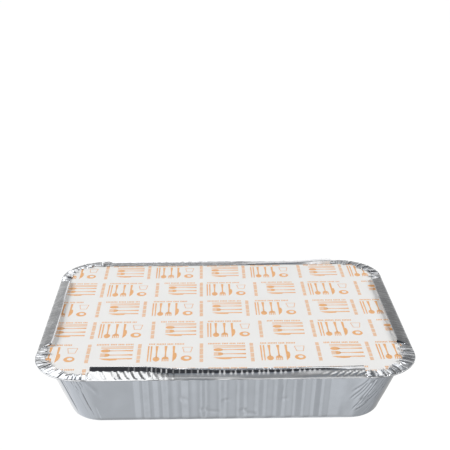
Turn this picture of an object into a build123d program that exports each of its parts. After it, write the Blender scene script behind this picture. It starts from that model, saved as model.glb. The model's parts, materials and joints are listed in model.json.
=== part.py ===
from build123d import *
import os
from math import cos, radians, sin, sqrt

# Foil food container with a flat card lid. Millimetres, +Z up, +X along the long side, +Y to the
# back. The origin is the middle of the tray's floor, on the surface that it stands on.

# Tray: one pressed sheet, outside sizes
foil = 0.12              # sheet thickness
rim_length = 227.0
rim_width = 177.0
rim_radius = 30.0        # plan radius of the rim's corners
depth = 38.5             # from the floor's underside to the flange's top face
flange = 7.0             # ledge that the edge of the lid lies on
wall_lean = 12.5         # how far each wall leans out on its way up
floor_radius = 20.0      # plan radius of the floor's corners
floor_bend = 4.0         # outside radius between floor and wall

# Flutes pressed out of the flat stretches of the walls
flute_pitch = 5.9
flute_width = 3.6
flute_height = 0.55
flute_low = 8.0          # lower end above the floor
flute_top_gap = 4.5      # from the upper end to the flange
flute_run_long = 118.0   # fluted stretch of a long wall
flute_run_short = 71.0   # fluted stretch of a short wall

# Lip: the edge of the sheet, stood up round the rim and folded in over the lid. Each flap has two
# facets, the stand and the tip. A bend gives the stand's slope in degrees above flat, the stand's
# width and the tip's slope, and a flap's bends are evenly spaced along it.
flap_width = 8.6         # stand and tip together
crimp_width = 7.4        # the pressed-down band round each corner
long_flap = 163.0
short_flap = 99.0
short_flap_shift = 2.5   # the short flaps sit a little towards the back
front_bends = ((86.0, 5.6, 30.0), (68.0, 3.6, 5.0), (48.0, 5.8, -6.0))  # from left to right
back_bends = ((4.0, 4.0, 2.0), (4.0, 4.0, 2.0))
side_bends = ((10.0, 4.0, 6.0), (10.0, 4.0, 6.0))

# Lid: one flat laminated card
card = 0.45
lid_side_gap = 0.6       # from the card's edge to the stood-up rim
lid_top_gap = 0.1        # from the card's face to the folded lip

mouth_length = rim_length - 2 * flange
mouth_width = rim_width - 2 * flange
mouth_radius = rim_radius - flange
floor_length = mouth_length - 2 * wall_lean
floor_width = mouth_width - 2 * wall_lean
fold_z = depth + card + lid_top_gap
wall_skin = foil * sqrt(depth**2 + wall_lean**2) / depth  # the sheet measured level
flute_radius = (flute_width**2 / 4 + flute_height**2) / (2 * flute_height)
flute_high = depth - flute_top_gap


def wall_outline(z, inset):
    # plan of the wall's outer face at height z, brought in by inset
    lean = wall_lean * z / depth - inset
    radius = floor_radius + (mouth_radius - floor_radius) * z / depth - inset
    return floor_length + 2 * lean, floor_width + 2 * lean, radius


def flute_places():
    # the middle of every flute's rod: it lies along the wall, sunk until only the flute stands out
    places = []
    long_walls = (floor_length, floor_width, flute_run_long, 0)
    short_walls = (floor_width, floor_length, flute_run_short, 90)
    for along, across, run, turn in (long_walls, short_walls):
        outward = Vector(0, -depth, -wall_lean).normalized()
        sunk = outward * (flute_height - flute_radius)
        count = int(run // flute_pitch) + 1
        for number in range(count):
            ends = []
            for z in (flute_low, flute_high):
                lean = wall_lean * z / depth
                x = (number - (count - 1) / 2) * flute_pitch * (1 + 2 * lean / along)
                ends.append(Vector(x, -across / 2 - lean, z) + sunk)
            for facing in (turn, turn + 180):
                low, high = (end.rotate(Axis.Z, facing) for end in ends)
                places.append(Plane(origin=(low + high) / 2, z_dir=high - low).location)
    return places


def flap_section(stand_slope, stand, tip_slope):
    # across a flap: u runs inwards from the rim's outer face and v up from the top of the rim
    up = (radians(stand_slope), radians(tip_slope))
    along = [Vector(cos(angle), sin(angle)) for angle in up]
    out = [Vector(-sin(angle), cos(angle)) for angle in up]
    root = Vector(foil, 0)
    knee = root + along[0] * stand
    edge = knee + along[1] * (flap_width - stand)
    knee_out = knee + (out[0] + out[1]) * (foil / (1 + out[0].dot(out[1])))
    root_out = Vector(0, foil * (1 - sin(up[0])) / cos(up[0]))
    return Vector(0, 0), root, knee, edge, edge + out[1] * foil, knee_out, root_out


def flap(inward, reach, length, shift, bends):
    # one straight flap, lofted through its bends
    rim = Vector(0, 0, fold_z) - inward * reach
    base = Plane(origin=rim, x_dir=inward, z_dir=inward.cross(Vector(0, 0, 1)))
    with BuildPart() as piece:
        for number, bend in enumerate(bends):
            along = shift + length * (number / (len(bends) - 1) - 0.5)
            with BuildSketch(base.offset(along)):
                Polygon(*flap_section(*bend), align=None)
        loft(ruled=True)
    return piece.part


flaps = [
    flap(Vector(0, 1, 0), rim_width / 2, long_flap, 0, front_bends),
    flap(Vector(0, -1, 0), rim_width / 2, long_flap, 0, back_bends),
    flap(Vector(1, 0, 0), rim_length / 2, short_flap, -short_flap_shift, side_bends),
    flap(Vector(-1, 0, 0), rim_length / 2, short_flap, short_flap_shift, side_bends),
]

# The rod that each flute is pressed by, outside and inside the sheet
rod_length = sqrt((flute_high - flute_low)**2 + (wall_lean * (flute_high - flute_low) / depth)**2)
with BuildPart() as outer_rod:
    Cylinder(flute_radius, rod_length)
    with Locations((0, 0, -rod_length / 2), (0, 0, rod_length / 2)):
        Sphere(flute_radius)

with BuildPart() as inner_rod:
    Cylinder(flute_radius - foil, rod_length)
    with Locations((0, 0, -rod_length / 2), (0, 0, rod_length / 2)):
        Sphere(flute_radius - foil)

# The space inside the tray, from the floor's upper face to just above the flange
with BuildPart() as cavity:
    for z in (foil, depth):
        with BuildSketch(Plane.XY.offset(z)):
            RectangleRounded(*wall_outline(z, wall_skin))
    loft(ruled=True)
    fillet(cavity.faces().sort_by(Axis.Z)[0].edges(), floor_bend - foil)
    with Locations(*flute_places()):
        add(inner_rod.part)

with BuildPart() as foil_tray:
    for z in (0, depth):
        with BuildSketch(Plane.XY.offset(z)):
            RectangleRounded(*wall_outline(z, 0))
    loft(ruled=True)
    fillet(foil_tray.faces().sort_by(Axis.Z)[0].edges(), floor_bend)
    with BuildSketch(Plane.XY.offset(depth - foil)):
        RectangleRounded(rim_length, rim_width, rim_radius)
    extrude(amount=foil)
    with Locations(*flute_places()):
        add(outer_rod.part)
    add(cavity.part, mode=Mode.SUBTRACT)
    # the sheet stands up past the edge of the lid
    with BuildSketch(Plane.XY.offset(depth)):
        RectangleRounded(rim_length, rim_width, rim_radius)
        RectangleRounded(rim_length - 2 * foil, rim_width - 2 * foil, rim_radius - foil, mode=Mode.SUBTRACT)
    extrude(amount=fold_z - depth)
    # and is pressed flat over it round the corners
    with BuildSketch(Plane.XY.offset(fold_z)):
        RectangleRounded(rim_length, rim_width, rim_radius)
        RectangleRounded(
            rim_length - 2 * crimp_width,
            rim_width - 2 * crimp_width,
            rim_radius - crimp_width,
            mode=Mode.SUBTRACT,
        )
        Rectangle(long_flap, rim_width, mode=Mode.SUBTRACT)
        with Locations((0, short_flap_shift)):
            Rectangle(rim_length, short_flap, mode=Mode.SUBTRACT)
    extrude(amount=foil)
    add(flaps)
foil_tray.part.label = "foil_tray"

lid_inset = foil + lid_side_gap
with BuildPart() as card_lid:
    with BuildSketch(Plane.XY.offset(depth)):
        RectangleRounded(rim_length - 2 * lid_inset, rim_width - 2 * lid_inset, rim_radius - lid_inset)
    extrude(amount=card)
card_lid.part.label = "card_lid"

os.makedirs("parts", exist_ok=True)
export_step(foil_tray.part, "parts/foil_tray.step")
export_step(card_lid.part, "parts/card_lid.step")
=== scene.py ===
import bpy
import json
from bisect import bisect_right
from math import atan2, ceil, cos, exp, hypot, inf, pi, radians, sin
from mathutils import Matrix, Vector, noise
from random import Random

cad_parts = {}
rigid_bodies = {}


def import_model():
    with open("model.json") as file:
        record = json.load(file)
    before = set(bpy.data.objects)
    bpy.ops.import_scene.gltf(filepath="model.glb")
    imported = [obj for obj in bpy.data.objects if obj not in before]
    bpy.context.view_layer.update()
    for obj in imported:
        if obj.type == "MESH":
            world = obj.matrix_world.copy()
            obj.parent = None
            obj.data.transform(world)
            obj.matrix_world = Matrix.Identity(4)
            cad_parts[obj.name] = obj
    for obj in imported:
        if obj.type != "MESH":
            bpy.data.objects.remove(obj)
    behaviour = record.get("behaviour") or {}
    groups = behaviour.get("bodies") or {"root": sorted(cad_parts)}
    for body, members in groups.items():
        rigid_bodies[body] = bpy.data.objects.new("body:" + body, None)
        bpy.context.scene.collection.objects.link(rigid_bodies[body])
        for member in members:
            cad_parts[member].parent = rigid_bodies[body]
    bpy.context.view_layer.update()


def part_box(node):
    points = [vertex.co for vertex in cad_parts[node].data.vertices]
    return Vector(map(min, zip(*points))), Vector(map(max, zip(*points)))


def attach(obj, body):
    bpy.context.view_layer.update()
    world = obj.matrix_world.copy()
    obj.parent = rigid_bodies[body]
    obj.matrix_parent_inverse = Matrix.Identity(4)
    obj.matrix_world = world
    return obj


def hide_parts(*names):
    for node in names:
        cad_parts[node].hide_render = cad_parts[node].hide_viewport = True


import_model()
mm = 0.001

# the frame gives the sizes that everything is built to, here in millimetres
_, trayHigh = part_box("foil_tray")
lidLow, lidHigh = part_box("card_lid")
rimHalfX = trayHigh[0] / mm
rimHalfY = trayHigh[1] / mm
flangeZ = lidLow[2] / mm
lidZ = lidHigh[2] / mm


# helpers that every piece uses
def clearSelection():
    if bpy.context.object and bpy.context.object.mode != "OBJECT":
        bpy.ops.object.mode_set(mode="OBJECT")
    bpy.ops.object.select_all(action="DESELECT")


def pick(piece):
    clearSelection()
    piece.select_set(True)
    bpy.context.view_layer.objects.active = piece


def smooth(value, low, high):
    # 0 below low, 1 above high, eased between
    share = min(max((value - low) / (high - low), 0.0), 1.0)
    return share * share * (3 - 2 * share)


def between(value, start, end):
    # 1 between two eased ends, each a pair of values, and 0 outside them
    return smooth(value, *start) * (1 - smooth(value, *end))


def mix(a, b, share):
    return a + (b - a) * share


def wobble(x, y, seed, size):
    # soft noise between -1 and 1, with lumps about size millimetres across
    return noise.noise(Vector((x / size, y / size, seed * 7.31)))


def weld(piece, gap=0.002 * mm):
    pick(piece)
    bpy.ops.object.mode_set(mode="EDIT")
    bpy.ops.mesh.select_all(action="SELECT")
    bpy.ops.mesh.remove_doubles(threshold=gap)
    bpy.ops.mesh.normals_make_consistent(inside=False)
    bpy.ops.object.mode_set(mode="OBJECT")


def giveThickness(piece, thickness, offset):
    pick(piece)
    wall = piece.modifiers.new("wall", "SOLIDIFY")
    wall.thickness = thickness * mm
    wall.offset = offset
    wall.use_rim = True
    bpy.ops.object.modifier_apply(modifier=wall.name)


def shade(piece, angle):
    pick(piece)
    bpy.ops.object.shade_smooth_by_angle(angle=radians(angle))


def paint(piece, material):
    piece.data.materials.clear()
    piece.data.materials.append(material)


def countTriangles(piece):
    return sum(len(face.vertices) - 2 for face in piece.data.polygons)


def bentSheet(name, columns, rows, place):
    # a flat grid bent into shape: place gives each column and row its millimetre point, its painted
    # shade, and how far its shine is rubbed off, which stands as a painted highlight
    clearSelection()
    bpy.ops.mesh.primitive_grid_add(x_subdivisions=columns, y_subdivisions=rows, size=1)
    piece = bpy.context.object
    piece.name = name
    paintedShade = piece.data.attributes.new("paintedShade", "FLOAT", "POINT")
    rubbedHighlight = piece.data.attributes.new("rubbedHighlight", "FLOAT", "POINT")
    for v in piece.data.vertices:
        column = round((v.co.x + 0.5) * columns)
        row = round((v.co.y + 0.5) * rows)
        point, shadeAmount, wornHighlight = place(column, row)
        v.co = point * mm
        paintedShade.data[v.index].value = shadeAmount
        rubbedHighlight.data[v.index].value = wornHighlight
    return piece


# the way round the rim, which every piece follows
rim = {
    "radius": 30.0,      # plan radius of the rim's corners
    "flange": 7.0,       # ledge that the lid lies on
    "backBow": 0.3,      # how far the back of the rim is pulled in at its middle
    "backSag": 0.3,      # and how far it hangs there
    "fan": 0.05,         # how much of the wall's narrowing the fluted stretch follows
    "fanHalf": (64.0, 40.0),    # half of that stretch, on the long and the short sides
}
longStraight = rimHalfX - rim["radius"]
shortStraight = rimHalfY - rim["radius"]
straights = (longStraight, shortStraight, longStraight, shortStraight)   # front, right, back, left
cornerRun = rim["radius"] * pi / 2
quarter = longStraight + cornerRun + shortStraight


def stopsRound(marks, cornerStep):
    # stops anticlockwise from the front's left end: side, millimetres from its middle, turn
    stops = []
    count = round(cornerRun / cornerStep)
    for side, half in enumerate(straights):
        stops += [(side, mark, 0.0) for mark in marks[side]]
        stops += [(side, half, pi / 2 * number / count) for number in range(count)]
    return sorted(stops, key=rimPlace)


def evenMarks(low, high, step):
    count = ceil((high - low) / step)
    return [low + (high - low) * number / count for number in range(count)]


def onOutline(stop, inset, radius):
    # plan point and outward direction of a stop, on the rim's outline brought in by inset
    side, along, turn = stop
    straight, reach = (shortStraight, rimHalfX) if side % 2 else (longStraight, rimHalfY)
    room = straight + rim["radius"] - inset - radius
    half = rim["fanHalf"][side % 2]
    fan = 1 - rim["fan"] * (1 - room / straight)
    if abs(along) <= half:
        slid = along * fan
    else:
        slid = half * fan + (abs(along) - half) / (straight - half) * (room - half * fan)
        slid = slid if along > 0 else -slid
    facing = side * pi / 2 - pi / 2
    normal = Vector((cos(facing), sin(facing)))
    tangent = Vector((-sin(facing), cos(facing)))
    out = Vector((cos(facing + turn), sin(facing + turn)))
    return normal * (reach - inset - radius) + tangent * slid + out * radius, out


def rimPlace(stop):
    # millimetres round the rim from the middle of the front
    side, along, turn = stop
    return side * quarter + along + turn * rim["radius"]


def settle(x, y, z):
    # the clamped lid has pulled the back of the rim in and down a little
    middle = max(1 - (x / rimHalfX) ** 2, 0.0)
    back = smooth(y, 0.25 * rimHalfY, rimHalfY)
    height = max(z, 0.0) / flangeZ
    return Vector((
        x,
        y - rim["backBow"] * middle * back * height,
        z - rim["backSag"] * middle * back * height,
    ))


# foil tray: floor, walls and flange
tray = {
    "wallLean": 12.5,    # how much further in a wall's foot is than its top
    "floorRadius": 20.0,
    "mouthRadius": 23.0,
    "floorBend": 4.0,
    "floorCuts": 4,
    "mouthBend": 1.0,
    "mouthCuts": 3,
    "floorRing": 3.0,    # flat rim of the floor inside the bend
    "edge": 0.1,         # from the rim's outer face to the flange's edge
    "foil": 0.12,
    "wallRows": 31,
    "step": 0.62,        # between stops on a plain stretch of wall
    "cornerStep": 0.47,
    "foldStep": 0.16,    # from a fold to the stops on both sides of it
    "foldRoom": 0.4,     # from the outer folds to the plain stretches
    "wideFacet": 2.8,    # a facet wider than this has one more stop
    "fluteStep": 5.62,   # from one narrow flat to the next
    "fluteFlat": 2.0,
    "fluteHeight": 0.62,
    "fluteShift": 0.5,
    "fluteRunOut": 20.0,
    "flutes": ((-10, 11), (-6, 7)),    # first and last, on the long and the short sides
    "swell": (0.2, 26),  # soft unevenness of the walls: height and size of its lumps
    "ripple": (0.05, 8),
    "smoothAngle": 38,
    "seed": 5,
    # creases pressed into the front corners, left and right: millimetres from the corner's start
    # and height, at the top and at the bottom, then depth, width and bow
    "creases": {
        3: [
            (24.5, 34, 25.5, 5, 0.42, 0.62, 0.0),
            (27.5, 35, 28.5, 20, 0.18, 0.5, 0.2),
            (40.0, 35, 41.6, 26, 0.34, 0.5, 0.3),
            (41.0, 25, 42.4, 5, 0.36, 0.5, -0.6),
            (36.0, 26, 38.0, 4, 0.18, 0.6, 0.2),
            (45.0, 37, 54.0, 22, 0.2, 2.4, 0.6),
            (37.2, 35, 38.4, 31, 0.34, 0.4, 0.4),
            (38.0, 30, 39.4, 25, 0.3, 0.4, -0.3),
            (35.8, 33, 36.8, 28, 0.3, 0.4, -0.3),
            (36.6, 26, 38.0, 22, 0.26, 0.4, 0.3),
            (43.0, 33, 44.0, 29, 0.3, 0.4, 0.3),
            (12.0, 34, 13.0, 10, 0.25, 0.7, 0.2),
            (3.0, 36, -2.0, 20, 0.3, 0.9, 0.6),
        ],
        0: [
            (1.5, 33.5, -7.0, 24, 0.26, 0.6, 1.2),
            (1.5, 30, -6.6, 18, 0.3, 0.6, 1.0),
            (4.5, 31, -3.5, 17, 0.26, 0.6, 1.0),
            (7.5, 33, 0.5, 15, 0.26, 0.6, 1.0),
            (9.5, 32, 4.0, 15.5, 0.3, 0.6, 0.9),
            (14.5, 21.5, 7.0, 13.5, 0.42, 0.6, 0.9),
            (12.6, 23.5, 6.0, 17.5, 0.3, 0.45, 0.6),
            (3.5, 18, -1.2, 9, 0.34, 0.55, 0.5),
            (6.4, 17, 1.0, 10, 0.26, 0.45, 0.5),
            (10.0, 14, 1.4, 7.5, 0.34, 0.6, 0.7),
            (17.5, 14, 13.0, 2.5, 0.4, 0.5, 0.5),
            (23.5, 31, 18.5, 20, 0.34, 0.5, 0.3),
            (9.0, 34, 4.0, 29.5, 0.34, 0.6, 0.4),
            (12.5, 34, 8.6, 26.5, 0.24, 0.4, 0.4),
            (15.5, 33, 11.5, 24.5, 0.26, 0.4, 0.5),
            (18.5, 29, 14.5, 22, 0.24, 0.4, 0.3),
            (19.5, 24, 15.0, 13, 0.26, 0.45, 0.5),
            (15.0, 12, 9.0, 5, 0.24, 0.4, 0.4),
            (33.0, 34, 34.0, 8, 0.3, 0.7, 0.3),
            (42.0, 35, 40.0, 16, 0.28, 0.8, -0.4),
        ],
    },
    "creaseReach": (-20, 16),      # how far before and past a corner its creases go
    "shadeFreeDepth": 0.16,            # creases deeper than this are painted dark at the bottom, as shade
    "fullShadeDepth": 0.25,             # and fully painted as shade when this much deeper
    # ranges for the creases of the back corners, which are drawn at random
    "backSeeds": {1: 21, 2: 22},
    "backCreases": 12,
    "backFirst": -8,
    "backPitch": 4.8,
    "backShift": (-1.5, 1.5),
    "backLean": (0.05, 0.4),
    "backMiddle": 23,              # where the creases stand straight up
    "backHigh": (29, 35),
    "backLow": (4, 22),
    "backDepth": (0.22, 0.4),
    "backWidth": (0.5, 0.8),
    "backBend": (-0.6, 0.9),
    # dents in the front: place along it, height, half width, half height, depth, twist
    "dents": [
        (-13.5, 9.6, 1.7, 1.3, 0.26, 0.6),
        (-8.0, 7.8, 4.4, 1.0, 0.16, 0.05),
        (-0.4, 17.0, 2.0, 1.0, 0.22, 0.5),
        (10.2, 8.6, 1.9, 1.4, 0.28, 0.7),
        (14.6, 5.4, 3.4, 1.8, 0.2, -0.2),
        (-24.7, 18.0, 1.6, 2.8, 0.2, 0.7),
        (34.6, 17.5, 1.6, 1.1, 0.22, 0.5),
        (34.2, 25.0, 1.0, 7.0, 0.14, -0.1),
    ],
}


def fluteBreaks(side):
    # folds of the pressed flutes along one wall: place and how far each stands out
    luck = Random(tray["seed"] + side)
    first, last = tray["flutes"][side % 2]
    breaks = []
    for number in range(first, last + 1):
        middle = tray["fluteShift"] + number * tray["fluteStep"] + luck.uniform(-0.25, 0.25)
        high = tray["fluteHeight"] * luck.uniform(0.85, 1.15) if (number - first) % 2 else 0.0
        wide = tray["fluteFlat"] * luck.uniform(0.8, 1.25) / 2
        breaks.append((middle - wide, high + luck.uniform(-0.02, 0.02)))
        breaks.append((middle + wide, high + luck.uniform(-0.02, 0.02)))
    return breaks


flutes = [fluteBreaks(side) for side in range(4)]


def fluteRelief(side, along, z):
    breaks = flutes[side]
    fade = between(z, (0.8, 2.6), (flangeZ - 1.4, flangeZ - 0.4))
    if along <= breaks[0][0]:
        return 0.0
    if along >= breaks[-1][0]:
        # the last flute runs out softly towards the corner
        end, height = breaks[-1]
        return height * fade * (1 - smooth(along, end, end + tray["fluteRunOut"]))
    number = bisect_right(breaks, (along, inf)) - 1
    (low, lowOut), (high, highOut) = breaks[number], breaks[number + 1]
    return mix(lowOut, highOut, (along - low) / (high - low)) * fade


def fluteMarks(side):
    # stops that follow the folds closely, so that each facet stays flat
    half = straights[side]
    places = [place for place, _ in flutes[side]]
    marks = evenMarks(-half, places[0] - tray["foldRoom"], tray["step"])
    for low, high in zip(places, places[1:]):
        marks += [low - tray["foldStep"], low + tray["foldStep"]]
        shares = (0.33, 0.66) if high - low > tray["wideFacet"] else (0.5,)
        marks += [mix(low, high, share) for share in shares]
    return marks + evenMarks(places[-1] + tray["foldRoom"], half, tray["step"])


def luckyCreases(seed):
    # the same sort of creases as at the front, drawn at random
    luck = Random(seed)
    drawn = []
    for number in range(tray["backCreases"]):
        start = tray["backFirst"] + number * tray["backPitch"] + luck.uniform(*tray["backShift"])
        lean = luck.uniform(*tray["backLean"]) * (start - tray["backMiddle"])
        high, low = luck.uniform(*tray["backHigh"]), luck.uniform(*tray["backLow"])
        form = [luck.uniform(*tray[key]) for key in ("backDepth", "backWidth", "backBend")]
        drawn.append((start + lean * 0.4, high, start - lean * 0.6, low, *form))
    return drawn


for corner, seed in tray["backSeeds"].items():
    tray["creases"][corner] = luckyCreases(seed)


def creaseRelief(spot, z, corner):
    # grooves with a ridge along one side, faded at both ends, and how much painted shade lies in them
    total, shadeAmount = 0.0, 0.0
    for highSpot, high, lowSpot, low, depth, width, bow in tray["creases"][corner]:
        runX, runZ = lowSpot - highSpot, low - high
        offX, offZ = spot - highSpot, z - high
        share = (offX * runX + offZ * runZ) / (runX * runX + runZ * runZ)
        if -0.1 < share < 1.1:
            aside = (offX * runZ - offZ * runX) / hypot(runX, runZ) + bow * sin(share * pi)
            if abs(aside) < 4 * width:
                fade = between(share, (-0.1, 0.15), (0.7, 1.1))
                groove = exp(-(aside / width) ** 2)
                ridge = exp(-((aside - 1.5 * width) / width) ** 2)
                total += depth * fade * (0.45 * ridge - groove)
                # painted shade at the bottom of the deeper creases
                darkness = (depth - tray["shadeFreeDepth"]) / tray["fullShadeDepth"]
                shadeAmount = max(shadeAmount, fade * darkness * exp(-(aside / width) ** 2 * 3))
    return total, shadeAmount


def dentRelief(along, z):
    # each dent is pressed in sharply at its upper edge and softly below
    total = 0.0
    for x, height, wide, tall, depth, twist in tray["dents"]:
        a = (along - x + twist * (z - height)) / wide
        b = (z - height - 0.4 * twist * (along - x)) / tall
        far = a * a + b * b
        if far < 6:
            total -= depth * exp(-far * far * 0.7) * smooth(b, -1.6, 0.6)
    return total


def wallRelief(stop, z):
    # how far the wall stands out of its plain shape, and how much painted shade lies in its creases
    side, along, turn = stop
    shadeAmount = 0.0
    place = rimPlace(stop)
    on = between(z, (0.4, 4.0), (flangeZ - 0.9, flangeZ - 0.1))
    swell, swellSize = tray["swell"]
    ripple, rippleSize = tray["ripple"]
    relief = swell * wobble(place, z, tray["seed"], swellSize)
    relief += ripple * wobble(place, z, 3, rippleSize)
    if turn == 0.0:
        relief += fluteRelief(side, along, z)
        if side == 0:
            relief += dentRelief(along, z)
    before, past = tray["creaseReach"]
    for corner in range(4):
        spot = place - corner * quarter - straights[corner]
        if corner == 3 and spot < -2 * quarter:
            spot += 4 * quarter
        if before < spot < cornerRun + past:
            pressed, dark = creaseRelief(spot, z, corner)
            relief += pressed
            shadeAmount = max(shadeAmount, dark)
    return relief * on, shadeAmount


def trayProfile():
    # inset from the rim, height and corner radius of each ring, from the floor out to the rim
    rings = []
    slope = atan2(flangeZ, tray["wallLean"])
    foot = rim["flange"] + tray["wallLean"]

    def ring(inset, z):
        share = min(max(z / flangeZ, 0.0), 1.0)
        natural = mix(tray["floorRadius"], tray["mouthRadius"], share)
        wallInset = mix(foot, rim["flange"], share)
        rings.append((inset, z, natural + wallInset - inset))

    bend, cuts = tray["floorBend"], tray["floorCuts"]
    reach = bend * sin(slope / 2) / cos(slope / 2)
    ring(foot + reach + tray["floorRing"], 0.0)
    for number in range(cuts + 1):
        angle = slope * number / cuts
        ring(foot + reach - bend * sin(angle), bend * (1 - cos(angle)))
    lowZ = bend * (1 - cos(slope))

    bend, cuts = tray["mouthBend"], tray["mouthCuts"]
    reach = bend * sin(slope / 2) / cos(slope / 2)
    highZ = flangeZ - bend * (1 - cos(slope))
    for number in range(1, tray["wallRows"]):
        z = mix(lowZ, highZ, number / tray["wallRows"])
        ring(mix(foot, rim["flange"], z / flangeZ), z)
    for number in range(cuts + 1):
        angle = slope * (1 - number / cuts)
        ring(rim["flange"] - reach + bend * sin(angle), flangeZ - bend * (1 - cos(angle)))
    for share in (0.5, 0.0):
        ring(mix(tray["edge"], rim["flange"] - reach, share), flangeZ)
    return rings


def makeTray(material):
    rings = trayProfile()
    stops = stopsRound([fluteMarks(side) for side in range(4)], tray["cornerStep"])
    slope = atan2(flangeZ, tray["wallLean"])

    def place(column, row):
        stop = stops[column % len(stops)]
        inset, z, radius = rings[row]
        point, out = onOutline(stop, inset, radius)
        relief, shadeAmount = wallRelief(stop, z)
        x, y = point + out * (relief * sin(slope))
        return settle(x, y, z - relief * cos(slope)), shadeAmount, 0.0

    piece = bentSheet("foilTray", len(stops), len(rings) - 1, place)
    weld(piece)
    bpy.ops.object.mode_set(mode="EDIT")
    bpy.ops.mesh.select_all(action="DESELECT")
    bpy.ops.object.mode_set(mode="OBJECT")
    slack = 0.01         # the floor's inner ring is picked out by its place and filled
    halfX, halfY = (half - rings[0][0] + slack for half in (rimHalfX, rimHalfY))
    for v in piece.data.vertices:
        x, y, z = v.co / mm
        v.select = z < slack and abs(x) <= halfX and abs(y) <= halfY
    bpy.ops.object.mode_set(mode="EDIT")
    bpy.ops.mesh.edge_face_add()
    bpy.ops.mesh.select_all(action="SELECT")
    bpy.ops.mesh.normals_make_consistent(inside=False)
    bpy.ops.object.mode_set(mode="OBJECT")
    giveThickness(piece, tray["foil"], 1)
    shade(piece, tray["smoothAngle"])
    paint(piece, material)
    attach(piece, "root")
    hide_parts("foil_tray")
    print("tray triangles", countTriangles(piece))


# foil lip: the flaps along the sides and the crimps between them
lip = {
    "foil": 0.12,
    "steps": (0.3, 0.5, 0.6, 0.5),            # between stops, finest along the front
    "cornerStep": 0.36,
    "spots": (0.06, 0.35, 0.65, 0.94),        # where the rows lie on each fold
    # the rolled edge under the flaps, as steps in from the rim and up from the fold
    "roll": [(1.2, -0.7), (0.35, -0.7), (0.02, -0.5), (-0.1, -0.22)],
    "paintedShadeRows": 3,       # rows of the roll painted dark, as the shade under the rolled edge
    "rise": 0.1,         # from the card's top to the fold
    "inset": 0.12,       # from the rim's outer face to the fold
    "clear": 0.08,       # how far above that height the lip stays over the card
    "wave": (0.12, 3),   # unevenness of the outer edge: height and length
    "crimp": [(0.35, 70), (0.9, 3), (3.2, 1), (3.5, -3), (0.15, -30)],
    "frontLift": 4,      # degrees by which the crimps open at the front's corners
    # the stretch round the rim that each kind of fold covers, and the gaps between them
    "pleatSpan": (-longStraight - 2.0, 4 * quarter - longStraight + 4.0),
    "pleatGap": (1.6, 3.4),
    "toothSpan": (-56.0, 60.0),
    "toothGap": (2.4, 4.2),
    "foldSpan": (-110.0, -30.0),
    "foldGap": (3.2, 5.4),
    "ribSpan": (quarter - 60.0, 3 * quarter + 60.0),
    "ribGap": (2.4, 5.0),
    "flapEnd": 1.6,      # run over which a flap drops to the crimp beside it
    "smoothAngle": 32,
    "seed": 11,
    # each flap: where it starts and ends round the rim, how much its ends are cut back towards
    # the free edge, then its folds, evenly spaced along it, as width and slope inwards
    "flaps": [
        (-79.5, 80.5, 0.0, [
            [(1.0, 86), (4.6, 86), (3.0, 30), (0.3, 6), (0.2, -20)],
            [(0.8, 75), (4.2, 72), (2.9, 30), (0.5, 6), (0.2, -20)],
            [(0.6, 61), (2.9, 62), (2.3, 34), (1.5, 5), (0.2, -30)],
            [(0.6, 68), (2.7, 62), (1.8, 34), (1.9, 5), (0.2, -40)],
            [(0.6, 66), (3.0, 62), (1.6, 32), (1.8, 4), (0.2, -50)],
            [(2.2, 60), (2.5, 68), (1.2, 24), (2.0, -11), (0.3, 20)],
            [(2.7, 60), (2.4, 71), (0.3, -8), (4.2, -10), (0.4, 28)],
        ]),
        (quarter - 53, quarter + 57, 6.0, [
            [(1.0, 18), (2.8, 13), (3.8, 10), (0.5, 28), (0.15, 0)],
            [(1.0, 18), (2.6, 12), (4.2, 9), (0.5, 28), (0.15, 0)],
            [(1.0, 18), (2.4, 12), (4.0, 10), (0.45, 28), (0.15, 0)],
        ]),
        (2 * quarter - 82, 2 * quarter + 82, 0.0, [
            [(1.9, 80), (3.2, 8), (3.2, 7), (2.7, -82), (0.3, -60)],
            [(0.6, 30), (2.4, 7), (3.6, 5), (1.2, -60), (0.2, -60)],
            [(0.8, -9), (2.4, -3), (4.2, 3), (1.0, -48), (0.2, -60)],
            [(0.8, -10), (1.8, 5), (2.4, -5), (2.8, 4), (0.7, -50)],
            [(0.8, -9), (2.0, -3), (3.0, 2), (2.2, -4), (0.7, -50)],
        ]),
        (3 * quarter - 57, 3 * quarter + 53, 6.0, [
            [(1.0, 17), (2.4, 13), (2.8, 10), (1.1, 27), (0.15, 0)],
            [(1.0, 17), (2.6, 14), (2.7, 11), (0.9, 26), (0.15, 0)],
            [(1.0, 17), (2.6, 13), (3.7, 10), (0.7, 24), (0.15, 0)],
            [(1.0, 18), (2.8, 14), (3.6, 10), (1.1, 27), (0.15, 0)],
            [(1.0, 18), (2.8, 15), (3.3, 9), (1.0, 27), (0.15, 0)],
        ]),
    ],
    # stretches of the front, in millimetres from its middle: where each starts and where it ends
    "stretches": {
        "slanted": ((-86, -70), (-46, -34)),      # slanting pleats
        "upright": ((-48, -42), (-34, -28)),      # upright ones
        "crinkled": ((-54, -36), (40, 58)),       # fine crinkles of the free edge
        "blobs": ((-30, 0), (48, 62)),            # rubbed spots at the feet of the teeth, painted as highlights
        "toothLines": ((-62, -44), (44, 56)),     # rubbed lines up the teeth, painted as highlights
        "glint": ((-46, -30), (0, 14)),           # a painted highlight along the stand
        "edgeHighlight": ((8, 24), (76, 84)),        # and a painted highlight along the rolled edge
        "rubbedCrimpHighlights": ((80, 88), (146, 160)),   # rubbed crimps at the right corner, painted as pale highlights
    },
    "slantHeight": (0.52, 1.0),
    "uprightHeight": 0.4,
    "crinkleHeight": 0.05,
    "rightHeight": 0.24,
    "rightPleats": (50, 66),
    "ribHeights": (0.026, 0.012),      # before and past the middle of the back
}


def unevenMarks(low, high, shortest, longest, seed):
    # places from low to past high, at gaps drawn at random
    luck = Random(seed)
    marks = [low]
    while marks[-1] < high:
        marks.append(marks[-1] + luck.uniform(shortest, longest))
    return marks


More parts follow.
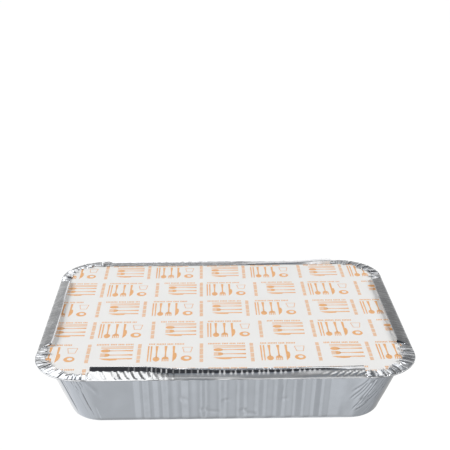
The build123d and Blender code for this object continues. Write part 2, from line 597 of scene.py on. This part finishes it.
pleats = unevenMarks(*lip["pleatSpan"], *lip["pleatGap"], lip["seed"])
teeth = unevenMarks(*lip["toothSpan"], *lip["toothGap"], lip["seed"] + 1)
folds = unevenMarks(*lip["foldSpan"], *lip["foldGap"], lip["seed"] + 2)
ribs = unevenMarks(*lip["ribSpan"], *lip["ribGap"], lip["seed"] + 3)


def nearest(marks, place):
    # number of the gap that a place falls in, and how far across the gap it is
    number = min(max(bisect_right(marks, place) - 1, 0), len(marks) - 2)
    return number, (place - marks[number]) / (marks[number + 1] - marks[number])


def flapAt(place):
    # the flap that a place round the rim is on, with its folds there
    for flap in lip["flaps"]:
        start, end, _, shapes = flap
        if start < place < end:
            spot = (place - start) / (end - start) * (len(shapes) - 1)
            number = min(int(spot), len(shapes) - 2)
            ease = smooth(spot - number, 0, 1)
            pairs = zip(shapes[number], shapes[number + 1])
            return flap, [[mix(a, b, ease) for a, b in zip(*pair)] for pair in pairs]
    return None, None


def onStretch(name, place):
    return between(place, *lip["stretches"][name])


def fromFront(place):
    # millimetres round the rim from the middle of the front, whichever way is shorter
    return min(abs(place), 4 * quarter - place)


def cell(x, y, z):
    # a fixed number between -1 and 1 for each cell of a grid; mixes made with it take 0 as
    # their low end and reach as far past it
    return noise.cell(Vector((x, y, z)))


def skewed(place, q):
    # crimps run slightly askew, more so further in from the rim
    return place + 0.3 * (q - 3) * wobble(place, 0, 4, 9)


def crimpRelief(place, q):
    # overlapping pleats, all lapped one way at the front's left corner and mixed elsewhere
    leftEnd = 3 * quarter + 40
    left = max(1 - smooth(place, -62, -56), smooth(place, leftEnd, leftEnd + 4))
    number, share = nearest(pleats, skewed(place, q))
    luck = cell(number * 2.3, 1.7, lip["seed"])
    lapped = mix(0.78, 0.92, luck) if luck < 0.86 else 0.15
    peak = mix(mix(0.22, 0.8, luck), lapped, left)
    tent = share / peak if share < peak else (1 - share) / (1 - peak)
    height = mix(0.35, 1.0, cell(number * 5.1, 8.8, 2.0)) * mix(0.8, 0.42, left)
    rise = mix(0.45, 1.0, smooth(q, 0.5, 5.0)) * smooth(q, -0.6, 0.8)
    atBack = 1.4 if place > 2 * quarter else 0.75   # the two back corners differ in height
    rise *= mix(1.0, atBack, smooth(fromFront(place), 230, 260))
    return height * tent * rise + 0.04 * wobble(place, q, 6, 3) * smooth(q, 0.5, 2)


def frontRelief(place, q, stand):
    # on the stand, slanting pleats at the left and a few upright ones; crinkles along the free
    # edge in the middle; long creases at the right
    onStand = (1 - smooth(q, stand - 0.2, stand + 0.3)) * smooth(q, 0.2, 1.2)
    number, share = nearest(folds, place + 0.8 * q - 0.05 * q * q - 1.5)
    peak = mix(0.72, 0.88, cell(number * 1.9, 2.2, 5.0))
    lapped = share / peak if share < peak else (1 - share) / (1 - peak)
    height = mix(*lip["slantHeight"], cell(number * 2.7, 5.2, 3.0))
    relief = height * onStretch("slanted", place) * (lapped - 0.5) * onStand
    tooth = exp(-(fromTooth(place) / 0.8) ** 2)
    relief += lip["uprightHeight"] * onStretch("upright", place) * onStand * tooth
    crinkled = onStretch("crinkled", place) * smooth(q, stand, stand + 0.5)
    relief += lip["crinkleHeight"] * crinkled * wobble(place, q, 12, 0.9)
    _, share = nearest(folds, place - 150 - 1.3 * q - 0.1 * q * q)
    ridge = exp(-((share - 0.5) / 0.2) ** 2) * smooth(place, *lip["rightPleats"])
    return relief + lip["rightHeight"] * ridge * between(q, (0.3, 2.0), (stand - 1.4, stand))


def fromTooth(place):
    number, share = nearest(teeth, place)
    return min(share, 1 - share) * (teeth[number + 1] - teeth[number])


def standRubAndHighlight(place, fold, spot):
    # where the front flap is painted with pale highlights: along its edge and the stand, and as rubbed
    # spots at the feet of the teeth and rubbed lines up the teeth
    foot = onStretch("blobs", place) * exp(-(fromTooth(place) / 0.75) ** 2)
    if fold == 0 and spot == 0:
        return 0.6 * onStretch("edgeHighlight", place)
    if fold == 1:
        glint = 0.55 * onStretch("glint", place) if spot == 0 else 0.0
        return max(foot * (0.0, 0.0, 0.35, 0.85)[spot], glint)
    if fold != 2:
        return 0.0
    if spot == 0 and foot > 0.3:
        return 0.8 * foot
    number, share = nearest(teeth, place)
    strength = mix(0.45, 0.9, cell((number + round(share)) * 3.3, 6.1, 1.0))
    return strength * onStretch("toothLines", place) * exp(-(fromTooth(place) / 0.34) ** 2)


def crimpRubAndHighlight(place, fold, spot):
    # pale rubbed lines along the crimps at the front's right corner, painted as highlights
    on = onStretch("rubbedCrimpHighlights", place)
    if on == 0 or fold < 1 or flapAt(place)[0]:
        return 0.0
    crimp = lip["crimp"]
    q = sum(width for width, _ in crimp[:fold]) + crimp[fold][0] * lip["spots"][spot]
    number, share = nearest(pleats, skewed(place, q))
    near = min(share, 1 - share) * (pleats[number + 1] - pleats[number])
    luck = cell((number + round(share)) * 1.7, 3.3, 7.0)
    line = (0.2 if luck < 0.3 else mix(0.75, 1.0, luck)) * exp(-(near / 0.42) ** 2)
    return on * max(0.12, line)


def cutAcross(shape, relief):
    # points of one cut across the lip, inwards from the rim and up from the fold
    points = []
    u, v, q = 0.0, 0.0, 0.0
    for width, slope in shape:
        slope = radians(slope)
        for spot in lip["spots"]:
            reach = width * spot
            lift = relief(q + reach)
            points.append((
                u + reach * cos(slope) - lift * sin(slope),
                v + reach * sin(slope) + lift * cos(slope),
            ))
        u += width * cos(slope)
        v += width * sin(slope)
        q += width
    return points


def lipSection(place):
    # the cut across the lip at one place: the crimp, or the flap where there is one
    number, _ = nearest(pleats, place)
    ragged = 1 + 0.1 * (cell(number * 1.3, 4.4, 9.0) * 2 - 1) + 0.06 * wobble(place, 2, 23, 3)
    lift = lip["frontLift"] * (1 - smooth(fromFront(place), 135, 160))
    crimp = [
        (width * ragged, slope + (lift + 3 * wobble(place, width, 21, 5)) * (index > 0))
        for index, (width, slope) in enumerate(lip["crimp"])
    ]
    section = cutAcross(crimp, lambda q: crimpRelief(place, q))
    flap, shape = flapAt(place)
    if flap is None:
        return section
    start, end, cut, _ = flap
    stand = shape[0][0] + shape[1][0]
    atFront = abs(place) < quarter / 2
    ribHeight = lip["ribHeights"][int(place > 2 * quarter)]

    def flapRelief(q):
        relief = 0.06 * wobble(place, q, 31, 8)
        if atFront:
            return relief + frontRelief(place, q, stand)
        # fine ribs across the other flaps
        number, share = nearest(ribs, place + 0.3 * wobble(place, q, 33, 4))
        near = min(share, 1 - share) * (ribs[number + 1] - ribs[number])
        return relief + ribHeight * exp(-(near / 0.45) ** 2)

    free = 1 + 0.012 * wobble(place, 2, 25, 9)
    folded = cutAcross([(width * free, slope) for width, slope in shape], flapRelief)
    blended = []
    for low, high in zip(section, folded):
        back = cut * min(max(high[0], 0.0) / 7.0, 1.0)
        low0, high0 = start + back, end - back
        share = between(place, (low0, low0 + lip["flapEnd"]), (high0 - lip["flapEnd"], high0))
        blended.append((mix(low[0], high[0], share), mix(low[1], high[1], share)))
    return blended


def makeLip(material):
    marks = [evenMarks(-half, half, step) for half, step in zip(straights, lip["steps"])]
    stops = stopsRound(marks, lip["cornerStep"])
    roll = lip["roll"]
    foldZ = lidZ + lip["rise"]
    sections = [roll + lipSection(rimPlace(stop)) for stop in stops]
    waveHeight, waveLength = lip["wave"]

    # a painted highlight along the rolled edge, and rubbed pale marks on the front flap and crimps that
    # stand as painted highlights
    def wear(stop, row):
        side, _, turn = stop
        where = rimPlace(stop)
        if row == len(roll) - 1:
            return 0.7 * onStretch("edgeHighlight", where)
        if row < len(roll) or side > 1:
            return 0.0
        fold, spot = divmod(row - len(roll), len(lip["spots"]))
        return (standRubAndHighlight if side == turn == 0 else crimpRubAndHighlight)(where, fold, spot)

    def place(column, row):
        stop = stops[column % len(stops)]
        point, out = onOutline(stop, 0.0, rim["radius"])
        u, v = sections[column % len(stops)][row]
        wave = waveHeight * wobble(rimPlace(stop), 0, 41, waveLength) * (1 - smooth(u, 0, 2))
        x, y = point - out * (u + wave + lip["inset"])
        if u > 1 and row >= len(roll):
            v = max(v, lip["clear"])
        # the lowest rows of the roll are painted dark, as the shade line under the rolled edge
        shadeAmount = 1.0 if row < lip["paintedShadeRows"] else 0.0
        return settle(x, y, foldZ + v + wave), shadeAmount, wear(stop, row)

    piece = bentSheet("foilLip", len(stops), len(sections[0]) - 1, place)
    weld(piece)
    giveThickness(piece, lip["foil"], 0)
    shade(piece, lip["smoothAngle"])
    paint(piece, material)
    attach(piece, "root")
    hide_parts("foil_tray")
    print("lip triangles", countTriangles(piece))


# card lid
lid = {
    "inset": 0.75,       # from the rim's outer face to the card's edge
    "thickness": 0.45,
    "cornerCuts": 24,
    "cuts": (24, 18),    # the grid that lets it settle with the rim
    "smoothAngle": 30,
}


def makeLid(material):
    # one flat card: a plane with rounded corners, cut into a grid
    clearSelection()
    halves = rimHalfX - lid["inset"], rimHalfY - lid["inset"]
    bpy.ops.mesh.primitive_plane_add(size=1, location=(0, 0, lidZ * mm))
    piece = bpy.context.object
    piece.name = "cardLid"
    piece.scale = (2 * halves[0] * mm, 2 * halves[1] * mm, 1)
    bpy.ops.object.transform_apply(location=True, rotation=True, scale=True)
    bpy.ops.object.mode_set(mode="EDIT")
    bpy.ops.mesh.select_all(action="SELECT")
    corner = (rim["radius"] - lid["inset"]) * mm
    bpy.ops.mesh.bevel(offset=corner, segments=lid["cornerCuts"], affect="VERTICES")
    for half, cuts, across in zip(halves, lid["cuts"], (Vector((1, 0, 0)), Vector((0, 1, 0)))):
        for number in range(1, cuts):
            point = across * (mix(-half, half, number / cuts) * mm)
            bpy.ops.mesh.select_all(action="SELECT")
            bpy.ops.mesh.bisect(plane_co=point, plane_no=across)
    bpy.ops.object.mode_set(mode="OBJECT")
    for v in piece.data.vertices:
        v.co = settle(*(v.co / mm)) * mm
    giveThickness(piece, lid["thickness"], -1)
    shade(piece, lid["smoothAngle"])
    paint(piece, material)
    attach(piece, "root")
    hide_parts("card_lid")


# print on the lid
inkPrint = {
    "ink": 0.03,         # how proud the ink stands
    "sunk": 0.01,        # and how far it reaches into the card
    "margin": 1.5,       # bare edge of the card
    "rows": 6,
    "rowPitch": 31.0,
    "firstRow": -75.2,   # height of the nearest line of marks on the lid
    "columns": (-152.9, -83.4, -15.4, 55.4),
    # across from a column to its lying set, upright set and second strip, in even and odd rows
    "order": ((46.0, 4.5, 37.5), (8.0, 36.4, 30.5)),
    "setDrop": 2.6,      # from a line of marks down to the sets
    "lyingShift": 19.6,  # from the left end of a lying set to the top of its handles
    "marksShift": (24.0, 5.0),
    "stripShift": (1.9, 20.5),
    "overLying": (-3.0, 1.0),
    "overUpright": (0.5, 1.0),
    "strip": (23.5, 2.7),        # length and height of the marks beside a set
    "line": (22.5, 2.3),         # and of those above it
    "kinds": 3,                  # different strips and lines to draw from
    "stroke": 0.62,
    "strokePitch": 0.98,
    "wordGap": 0.7,
    "wordStrokes": (4, 5, 6, 8),
    "seed": 3,
}


def disc(width, height, x, y, points=20):
    turns = [2 * pi * number / points for number in range(points)]
    return [(x + width / 2 * cos(turn), y + height / 2 * sin(turn)) for turn in turns]


def bar(x0, y0, x1, y1):
    return [(x0, y0), (x1, y0), (x1, y1), (x0, y1)]


def cutlery():
    # one set seen from above, handles at the top, as outlines in millimetres
    chopsticks = [[(x, 0), (x + 0.95, 0), (x + 0.8, -19.5), (x + 0.15, -19.5)] for x in (0.0, 1.75)]
    spoonStem = [(4.6, 0), (6.4, 0), (5.9, -8.0), (5.95, -14.4), (5.05, -14.4), (5.1, -8.0)]
    spoonBowl = disc(4.0, 5.8, 5.5, -16.6)
    forkStem = [(10.0, 0), (11.8, 0), (11.3, -8.0), (11.35, -14.2), (10.45, -14.2), (10.5, -8.0)]
    forkHead = [
        (8.9, -15.4), (9.5, -14.2), (10.4, -13.7), (11.4, -13.7), (12.3, -14.2), (12.9, -15.4),
        (12.9, -16.6), (8.9, -16.6),
    ]
    tines = [bar(x, -19.4, x + 0.6, -16.5) for x in (8.9, 10.03, 11.17, 12.3)]
    knife = [
        (15.0, 0), (16.5, 0), (16.3, -8.4), (17.4, -9.4), (17.7, -13.0), (17.0, -16.6), (15.2, -19.8),
        (15.2, -9.0),
    ]
    return [*chopsticks, spoonStem, spoonBowl, forkStem, forkHead, *tines, knife]


def plainBeaker():
    # an outline, wider at the top
    line, high, wide, narrow = 0.4, 3.2, 3.2, 2.2
    side = [(wide - line, high), (wide, high), (narrow, -3.0), (narrow - line, -3.0)]
    return [
        bar(-wide, 3.0, wide, 3.0 + line),
        bar(-narrow, -high, narrow, -high + line),
        [(-x, y) for x, y in side],
        side,
    ]


def wordBars(length, height, luck):
    # plain upright strokes in groups in place of words, none of them a letter
    strokes = []
    x = 0.0
    while x < length - 1.0:
        for _ in range(luck.choice(inkPrint["wordStrokes"])):
            if x + 0.6 > length:
                break
            strokes.append(bar(x, 0, x + inkPrint["stroke"], 0.8 * height))
            x += inkPrint["strokePitch"]
        x += inkPrint["wordGap"]
    return strokes


def plainRing():
    # thicker at its lower left, as short pieces that are welded into one
    count, outer, inner, uneven, thickest = 24, 3.3, 1.55, 0.5, 3.9
    middleX, middleY = -0.6, -10.8

    def spot(radius, turn):
        return radius * cos(turn) + middleX, radius * sin(turn) + middleY

    turns = [2 * pi * number / count for number in range(count + 1)]
    edge = [(spot(outer, turn), spot(inner - uneven * cos(turn - thickest), turn)) for turn in turns]
    return [[outA, outB, inB, inA] for (outA, inA), (outB, inB) in zip(edge, edge[1:])]


def makeMotif(name, outlines):
    # flat shapes drawn on the lid, then extruded to the thickness of the ink
    points, faces = [], []
    for outline in outlines:
        turned = sum(a[0] * b[1] - b[0] * a[1] for a, b in zip(outline, outline[1:] + outline[:1]))
        corners = outline if turned > 0 else outline[::-1]
        faces.append(range(len(points), len(points) + len(corners)))
        points += [(x * mm, y * mm, (lidZ - inkPrint["sunk"]) * mm) for x, y in corners]
    mesh = bpy.data.meshes.new(name)
    mesh.from_pydata(points, [], faces)
    motif = bpy.data.objects.new(name, mesh)
    bpy.context.scene.collection.objects.link(motif)
    pick(motif)
    bpy.ops.object.mode_set(mode="EDIT")
    bpy.ops.mesh.select_all(action="SELECT")
    bpy.ops.mesh.remove_doubles(threshold=0.001 * mm)
    rise = (inkPrint["ink"] + inkPrint["sunk"]) * mm
    bpy.ops.mesh.extrude_region_move(TRANSFORM_OT_translate={"value": (0, 0, rise)})
    bpy.ops.mesh.select_all(action="SELECT")
    bpy.ops.mesh.normals_make_consistent(inside=False)
    bpy.ops.object.mode_set(mode="OBJECT")
    return motif


def pastEdge(x, y):
    # true where ink would lie past the card's edge
    x, y = abs(x), abs(y)
    if x > longStraight and y > shortStraight:
        return hypot(x - longStraight, y - shortStraight) > rim["radius"] - inkPrint["margin"]
    return x > rimHalfX - inkPrint["margin"] or y > rimHalfY - inkPrint["margin"]


def makePrint(material):
    luck = Random(inkPrint["seed"])
    upright, lying, strip = 0.0, -pi / 2, pi / 2
    kinds = range(inkPrint["kinds"])
    cutlerySet = makeMotif("cutlerySet", cutlery())
    marks = makeMotif("marks", plainBeaker() + plainRing())
    strips = [makeMotif("strip", wordBars(*inkPrint["strip"], luck)) for _ in kinds]
    lines = [makeMotif("line", wordBars(*inkPrint["line"], luck)) for _ in kinds]
    laid = []

    def lay(motif, turn, x, y, shift=(0.0, 0.0)):
        # one copy, moved right and down by shift
        copied = motif.copy()
        copied.data = motif.data.copy()
        bpy.context.scene.collection.objects.link(copied)
        copied.rotation_euler = (0, 0, turn)
        copied.location = ((x + shift[0]) * mm, (y - shift[1]) * mm, 0)
        laid.append(copied)

    for row in range(inkPrint["rows"]):
        line = inkPrint["firstRow"] + row * inkPrint["rowPitch"]
        top = line - inkPrint["setDrop"]
        for x in inkPrint["columns"]:
            lyingX, uprightX, secondStrip = (x + shift for shift in inkPrint["order"][row % 2])
            lay(cutlerySet, upright, uprightX, top)
            lay(cutlerySet, lying, lyingX + inkPrint["lyingShift"], top)
            lay(marks, upright, uprightX, top, inkPrint["marksShift"])
            lay(luck.choice(strips), strip, x, top, inkPrint["stripShift"])
            lay(luck.choice(strips), strip, secondStrip, top, inkPrint["stripShift"])
            lay(luck.choice(lines), upright, lyingX, line, inkPrint["overLying"])
            lay(luck.choice(lines), upright, uprightX, line, inkPrint["overUpright"])
    for motif in [cutlerySet, marks, *strips, *lines]:
        bpy.data.objects.remove(motif)

    clearSelection()
    for copied in laid:
        copied.select_set(True)
    piece = laid[0]
    bpy.context.view_layer.objects.active = piece
    bpy.ops.object.join()
    piece.name = "lidPrint"
    bpy.ops.object.transform_apply(location=True, rotation=True, scale=True)
    bpy.ops.object.mode_set(mode="EDIT")
    bpy.ops.mesh.select_all(action="DESELECT")
    bpy.ops.object.mode_set(mode="OBJECT")
    for v in piece.data.vertices:
        x, y, z = v.co / mm
        v.select = pastEdge(x, y)
        v.co = settle(x, y, z) * mm
    bpy.ops.object.mode_set(mode="EDIT")
    bpy.ops.mesh.select_linked()
    bpy.ops.mesh.delete(type="VERT")
    bpy.ops.object.mode_set(mode="OBJECT")
    paint(piece, material)
    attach(piece, "root")
    print("print triangles", countTriangles(piece))


# materials
foilFinish = {
    "foilWall": {"dark": (0.83, 0.84, 0.85), "light": (0.87, 0.88, 0.89), "rough": 0.1, "crinkle": 0.05},
    "foilFold": {"dark": (0.82, 0.83, 0.85), "light": (0.88, 0.89, 0.9), "rough": 0.13, "crinkle": 0.08},
    # colour of the painted shade in deep creases and under the rolled edge
    "paintedShade": (0.16, 0.165, 0.18, 1),
    "patchScale": 55,
    "wearScale": 260,
    "crinkleScale": 900,
}
cardFinish = {
    "dark": (0.875, 0.865, 0.845),
    "light": (0.895, 0.885, 0.865),
    "cloudScale": 30,
    "rough": 0.55,
    "fibre": 0.08,
    "fibreScale": 1400,
}
inkFinish = {
    "dark": (0.83, 0.417, 0.158),
    "light": (0.88, 0.485, 0.225),
    "blotchScale": 500,
    "rough": 0.5,
}


def newMaterial(name):
    material = bpy.data.materials.new(name)
    material.use_nodes = True
    nodes = material.node_tree.nodes
    return material, nodes, material.node_tree.links, nodes["Principled BSDF"]


def noiseAt(nodes, links, scale, detail=3):
    # noise that sits still on the piece
    texture = nodes.new("ShaderNodeTexNoise")
    texture.inputs["Scale"].default_value = scale
    texture.inputs["Detail"].default_value = detail
    links.new(nodes.new("ShaderNodeTexCoord").outputs["Object"], texture.inputs["Vector"])
    return texture.outputs["Fac"]


def ramp(nodes, links, value, stops):
    # each stop is a place and a colour, or a plain number for a grey
    colours = nodes.new("ShaderNodeValToRGB")
    links.new(value, colours.inputs["Fac"])
    elements = colours.color_ramp.elements
    elements[0].position, elements[1].position = stops[0][0], stops[-1][0]
    for place, _ in stops[1:-1]:
        elements.new(place)
    for element, (_, colour) in zip(elements, stops):
        red, green, blue = colour if isinstance(colour, tuple) else [colour] * 3
        element.color = (red, green, blue, 1)
    return colours.outputs["Color"]


def feed(links, value, socket):
    # a socket takes another one's output, or a plain value
    if isinstance(value, bpy.types.NodeSocket):
        links.new(value, socket)
    else:
        socket.default_value = value


def blend(nodes, links, kind, factor, first, second):
    both = nodes.new("ShaderNodeMix")
    both.data_type = "RGBA"
    both.blend_type = kind
    feed(links, factor, both.inputs["Factor"])
    colourIn = [socket for socket in both.inputs if socket.type == "RGBA"]
    feed(links, first, colourIn[0])
    feed(links, second, colourIn[1])
    return [socket for socket in both.outputs if socket.type == "RGBA"][0]


def attribute(nodes, name):
    reader = nodes.new("ShaderNodeAttribute")
    reader.attribute_name = name
    return reader.outputs["Fac"]


def addGrain(nodes, links, surface, scale, strength):
    # unevenness too fine to model
    bump = nodes.new("ShaderNodeBump")
    bump.inputs["Strength"].default_value = strength
    bump.inputs["Distance"].default_value = 0.1 * mm
    links.new(noiseAt(nodes, links, scale), bump.inputs["Height"])
    links.new(bump.outputs["Normal"], surface.inputs["Normal"])


def foilMaterial(name):
    finish = foilFinish[name]
    material, nodes, links, surface = newMaterial(name)
    metal = ramp(nodes, links, noiseAt(nodes, links, foilFinish["patchScale"]), [
        (0.3, finish["dark"]),
        (0.7, finish["light"]),
    ])
    # painted shade in deep creases and under the rolled edge, mixed over the metal's colour
    shadedMetal = blend(nodes, links, "MIX", attribute(nodes, "paintedShade"), metal, foilFinish["paintedShade"])
    links.new(shadedMetal, surface.inputs["Base Color"])
    wear = ramp(nodes, links, noiseAt(nodes, links, foilFinish["wearScale"], 4), [
        (0.35, finish["rough"] - 0.05),
        (0.7, finish["rough"] + 0.1),
    ])
    links.new(wear, surface.inputs["Roughness"])
    shine = nodes.new("ShaderNodeMath")      # all metal but where it is rubbed, which turns pale and stands as a painted highlight
    shine.operation = "SUBTRACT"
    shine.inputs[0].default_value = 1.0
    links.new(attribute(nodes, "rubbedHighlight"), shine.inputs[1])
    links.new(shine.outputs["Value"], surface.inputs["Metallic"])
    addGrain(nodes, links, surface, foilFinish["crinkleScale"], finish["crinkle"])
    return material


def paperMaterial(name, finish, scale):
    # the card or its ink: two close colours in soft clouds
    material, nodes, links, surface = newMaterial(name)
    clouds = ramp(nodes, links, noiseAt(nodes, links, scale), [
        (0.3, finish["dark"]),
        (0.7, finish["light"]),
    ])
    links.new(clouds, surface.inputs["Base Color"])
    surface.inputs["Roughness"].default_value = finish["rough"]
    if "fibre" in finish:
        addGrain(nodes, links, surface, finish["fibreScale"], finish["fibre"])
    return material


# studio: camera, lamps, floor and the air that the foil mirrors
studio = {
    "camera": (-12.5, -570.4, flangeZ + 271.7),
    "lookDown": 20.221,
    "lookRight": 1.35,
    "lens": 76.7,
    "sensor": 36,
    "floorSize": 12,
    "floorDrop": 0.2,
    "floorColour": (0.05, 0.05, 0.05, 1),
    # the way each lamp lies from the part, its distance, size and power
    "lamps": {
        "rightBox": ((0.85, -0.1, 0.6), 1.6, (0.7, 0.9), 18.2),
        "leftBox": ((-0.85, -0.1, 0.6), 1.6, (0.7, 0.9), 18.2),
        "backBox": ((-0.02, 0.88, 0.47), 1.8, (0.5, 0.08), 0.16),
        "leftBackBox": ((-0.22, 0.76, 0.61), 1.8, (0.72, 0.5), 1.4),
        "rightBackBox": ((0.19, 0.76, 0.61), 1.8, (0.3, 0.4), 0.45),
    },
    # colour of the air from straight down, -1, to straight up, 1
    "air": [
        (-1.0, (0.40, 0.41, 0.43)), (-0.92, (0.52, 0.545, 0.58)), (-0.8, (0.66, 0.69, 0.74)),
        (-0.6, 0.88), (-0.45, 0.98), (-0.32, 1.25), (0.1, 1.25), (0.2, 0.85), (0.3, 0.42), (0.4, 0.3),
        (0.55, (0.24, 0.26, 0.29)), (0.68, (0.2, 0.22, 0.25)), (0.82, 0.08), (0.92, (0.04, 0.042, 0.048)),
    ],
    # how it dims from the left, -1, to the right, 1, near the ground and above it
    "lowSides": [
        (-0.9, 0.7), (-0.6, 0.9), (-0.4, 1.0), (-0.24, 1.0), (-0.2, 0.9), (-0.13, 0.87), (-0.07, 0.85),
        (-0.02, 0.8), (0.02, 0.83), (0.06, 1.0), (0.2, 1.0), (0.25, 0.78), (0.34, 0.69), (0.8, 0.55),
    ],
    "highSides": [(-0.6, 0.9), (-0.36, 0.88), (-0.1, 1.0), (0.1, 0.95), (0.33, 0.5), (0.8, 0.45)],
    "nearGround": (-0.6, -0.3),
    # and towards the back right, near the ground
    "backRight": [(0.55, 1.0), (0.9, 0.68)],
}


def makeAir():
    # bright all round and a little below, grey underneath, dark overhead
    world = bpy.data.worlds.new("studioAir")
    bpy.context.scene.world = world
    world.use_nodes = True
    nodes, links = world.node_tree.nodes, world.node_tree.links
    way = nodes.new("ShaderNodeSeparateXYZ")
    links.new(nodes.new("ShaderNodeTexCoord").outputs["Generated"], way.inputs["Vector"])

    def scaled(value, low, high):
        stretch = nodes.new("ShaderNodeMapRange")
        links.new(value, stretch.inputs["Value"])
        stretch.inputs["From Min"].default_value = low
        stretch.inputs["From Max"].default_value = high
        return stretch.outputs["Result"]

    def along(value, name):
        stops = [((place + 1) / 2, colour) for place, colour in studio[name]]
        return ramp(nodes, links, scaled(value, -1, 1), stops)

    backRight = nodes.new("ShaderNodeMath")   # the sum of right and back
    links.new(way.outputs["X"], backRight.inputs[0])
    links.new(way.outputs["Y"], backRight.inputs[1])
    corner = along(backRight.outputs["Value"], "backRight")
    low = blend(nodes, links, "MULTIPLY", 1.0, along(way.outputs["X"], "lowSides"), corner)
    high = along(way.outputs["X"], "highSides")
    aboveGround = scaled(way.outputs["Z"], *studio["nearGround"])
    sides = blend(nodes, links, "MIX", aboveGround, low, high)
    air = blend(nodes, links, "MULTIPLY", 1.0, along(way.outputs["Z"], "air"), sides)
    background = nodes["Background"]
    links.new(air, background.inputs["Color"])
    background.inputs["Strength"].default_value = 1.0


def softbox(name, way, distance, size, power):
    light = bpy.data.lights.new(name, "AREA")
    light.shape = "RECTANGLE"
    light.size, light.size_y = size
    light.energy = power
    lamp = bpy.data.objects.new(name, light)
    bpy.context.scene.collection.objects.link(lamp)
    lamp.location = Vector(way).normalized() * distance
    lamp.rotation_euler = (-Vector(way)).to_track_quat("-Z", "Y").to_euler()


def makeFloor():
    clearSelection()
    below = (0, 0, -studio["floorDrop"] * mm)
    bpy.ops.mesh.primitive_plane_add(size=studio["floorSize"], location=below)
    floorPlane = bpy.context.object
    floorPlane.name = "studioFloor"
    material, _, _, surface = newMaterial("paleFloor")
    surface.inputs["Base Color"].default_value = studio["floorColour"]
    surface.inputs["Roughness"].default_value = 0.9
    surface.inputs["Specular IOR Level"].default_value = 0.0
    surface.inputs["Emission Color"].default_value = (1, 1, 1, 1)
    surface.inputs["Emission Strength"].default_value = 1.0
    paint(floorPlane, material)
    floorPlane.visible_glossy = False   # the foil mirrors the air instead


def makeCamera():
    camera = bpy.data.cameras.new("studioCamera")
    camera.lens = studio["lens"]
    camera.sensor_width = studio["sensor"]
    eye = bpy.data.objects.new("studioCamera", camera)
    bpy.context.scene.collection.objects.link(eye)
    eye.location = Vector(studio["camera"]) * mm
    eye.rotation_euler = (radians(90 - studio["lookDown"]), 0, radians(-studio["lookRight"]))
    bpy.context.scene.camera = eye
    bpy.context.scene.view_settings.view_transform = "Standard"


print("studio and camera")
makeFloor()
makeAir()
for name, settings in studio["lamps"].items():
    softbox(name, *settings)
makeCamera()
print("foil tray")
makeTray(foilMaterial("foilWall"))
print("foil lip")
makeLip(foilMaterial("foilFold"))
print("card lid and its print")
makeLid(paperMaterial("laminatedCard", cardFinish, cardFinish["cloudScale"]))
makePrint(paperMaterial("orangeInk", inkFinish, inkFinish["blotchScale"]))
